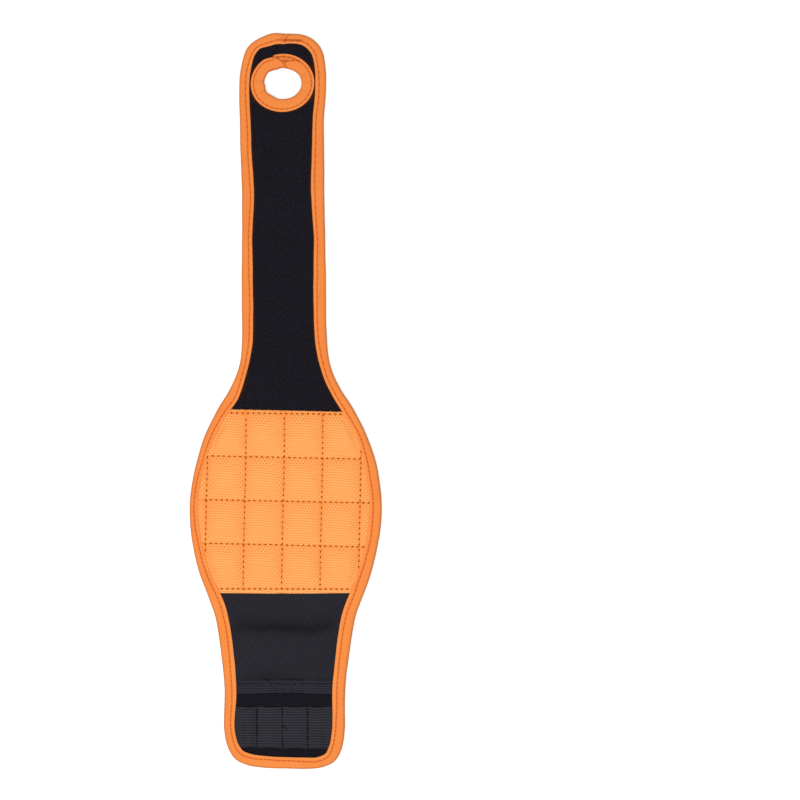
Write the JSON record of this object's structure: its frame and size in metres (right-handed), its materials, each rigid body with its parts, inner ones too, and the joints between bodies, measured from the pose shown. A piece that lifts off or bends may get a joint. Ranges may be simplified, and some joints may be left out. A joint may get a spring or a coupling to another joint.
{
  "type": "magnetic wristband",
  "caption": "Flat magnetic tool wristband: stitched magnet pad between a hook-and-loop strap with a thumb ring and a flap with a pocket and elastic bit loops.",
  "frame": {"origin": "middle of the footprint, on the surface that the band lies on with its back down", "axes": "+Y along the band towards the thumb ring, +X across it, +Z out of its outer face"},
  "size_m": [0.093, 0.356, 0.0061],
  "materials": {
    "loop_laminate": "black loop pile in front, smooth knit behind, over a thin foam",
    "binding_tape": "orange woven tape, fine crosswise rib",
    "pad_cover": "orange coarse ballistic weave",
    "pocket_cloth": "black oxford weave, matte",
    "ribbed_tape": "black ribbed tape and elastic",
    "hook_tape": "black hook tape",
    "magnet": "nickel-plated, bright"
  },
  "bodies": {
    "pad_row_2": {"pad_row_2_base": "loop_laminate", "pad_row_2_binding_left": "binding_tape", "pad_row_2_binding_right": "binding_tape", "pad_row_2_cover": "pad_cover", "pad_row_2_magnet_1": "magnet", "pad_row_2_magnet_2": "magnet", "pad_row_2_magnet_3": "magnet", "pad_row_2_magnet_4": "magnet"},
    "pad_row_1": {"pad_row_1_base": "loop_laminate", "pad_row_1_binding_left": "binding_tape", "pad_row_1_binding_right": "binding_tape", "pad_row_1_cover": "pad_cover", "pad_row_1_magnet_1": "magnet", "pad_row_1_magnet_2": "magnet", "pad_row_1_magnet_3": "magnet", "pad_row_1_magnet_4": "magnet"},
    "pad_row_3": {"pad_row_3_base": "loop_laminate", "pad_row_3_binding_left": "binding_tape", "pad_row_3_binding_right": "binding_tape", "pad_row_3_cover": "pad_cover", "pad_row_3_magnet_1": "magnet", "pad_row_3_magnet_2": "magnet", "pad_row_3_magnet_3": "magnet", "pad_row_3_magnet_4": "magnet"},
    "pad_row_4": {"pad_row_4_base": "loop_laminate", "pad_row_4_binding_left": "binding_tape", "pad_row_4_binding_right": "binding_tape", "pad_row_4_cover": "pad_cover", "pad_row_4_magnet_1": "magnet", "pad_row_4_magnet_2": "magnet", "pad_row_4_magnet_3": "magnet", "pad_row_4_magnet_4": "magnet"},
    "strap_near": {"strap_near_base": "loop_laminate", "strap_near_binding_left": "binding_tape", "strap_near_binding_right": "binding_tape"},
    "strap_middle": {"strap_middle_base": "loop_laminate", "strap_middle_binding_left": "binding_tape", "strap_middle_binding_right": "binding_tape"},
    "strap_far": {"strap_far_base": "loop_laminate", "strap_far_binding_left": "binding_tape", "strap_far_binding_right": "binding_tape"},
    "ring_end": {"ring_end_base": "loop_laminate", "ring_end_binding": "binding_tape", "thumb_ring_binding": "binding_tape"},
    "flap_pocket": {"flap_pocket_base": "loop_laminate", "flap_pocket_binding_left": "binding_tape", "flap_pocket_binding_right": "binding_tape", "flap_pocket_hook_strip": "hook_tape", "pocket_closure_patch": "hook_tape", "pocket_hem_tape": "ribbed_tape", "pocket_panel": "pocket_cloth"},
    "flap_end": {"bit_loop_elastic": "ribbed_tape", "flap_end_base": "loop_laminate", "flap_end_binding": "binding_tape", "flap_end_hook_strip": "hook_tape"}
  },
  "joints": [
    {"name": "pad_curl", "type": "hinge", "parent": "pad_row_2", "child": "pad_row_1", "pos_m": [0, -0.0273, 0], "axis": [-1, 0, 0], "range_deg": [0, 24]},
    {"name": "pad_curl_middle", "type": "hinge", "parent": "pad_row_2", "child": "pad_row_3", "pos_m": [0, -0.0485, 0], "axis": [1, 0, 0], "range_deg": [0, 24]},
    {"name": "pad_curl_lower", "type": "hinge", "parent": "pad_row_3", "child": "pad_row_4", "pos_m": [0, -0.0697, 0], "axis": [1, 0, 0], "range_deg": [0, 24]},
    {"name": "strap_wrap", "type": "hinge", "parent": "pad_row_1", "child": "strap_near", "pos_m": [0, -0.0046, 0], "axis": [-1, 0, 0], "range_deg": [0, 50]},
    {"name": "strap_middle_fold", "type": "hinge", "parent": "strap_near", "child": "strap_middle", "pos_m": [0, 0.0416, 0], "axis": [-1, 0, 0], "range_deg": [0, 58]},
    {"name": "strap_far_fold", "type": "hinge", "parent": "strap_middle", "child": "strap_far", "pos_m": [0, 0.0878, 0], "axis": [-1, 0, 0], "range_deg": [0, 67.5]},
    {"name": "ring_end_fold", "type": "hinge", "parent": "strap_far", "child": "ring_end", "pos_m": [0, 0.134, 0], "axis": [-1, 0, 0], "range_deg": [0, 60]},
    {"name": "flap_wrap", "type": "hinge", "parent": "pad_row_4", "child": "flap_pocket", "pos_m": [0, -0.093, 0], "axis": [1, 0, 0], "range_deg": [0, 50]},
    {"name": "flap_end_fold", "type": "hinge", "parent": "flap_pocket", "child": "flap_end", "pos_m": [0, -0.1449, 0], "axis": [1, 0, 0], "range_deg": [0, 62.5]}
  ],
  "couplings": [
    {"joint": "pad_curl_middle", "follows": "pad_curl", "ratio": 1},
    {"joint": "pad_curl_lower", "follows": "pad_curl", "ratio": 1},
    {"joint": "strap_middle_fold", "follows": "strap_wrap", "ratio": 1.16},
    {"joint": "strap_far_fold", "follows": "strap_wrap", "ratio": 1.35},
    {"joint": "ring_end_fold", "follows": "strap_wrap", "ratio": 1.2},
    {"joint": "flap_end_fold", "follows": "flap_wrap", "ratio": 1.25}
  ]
}
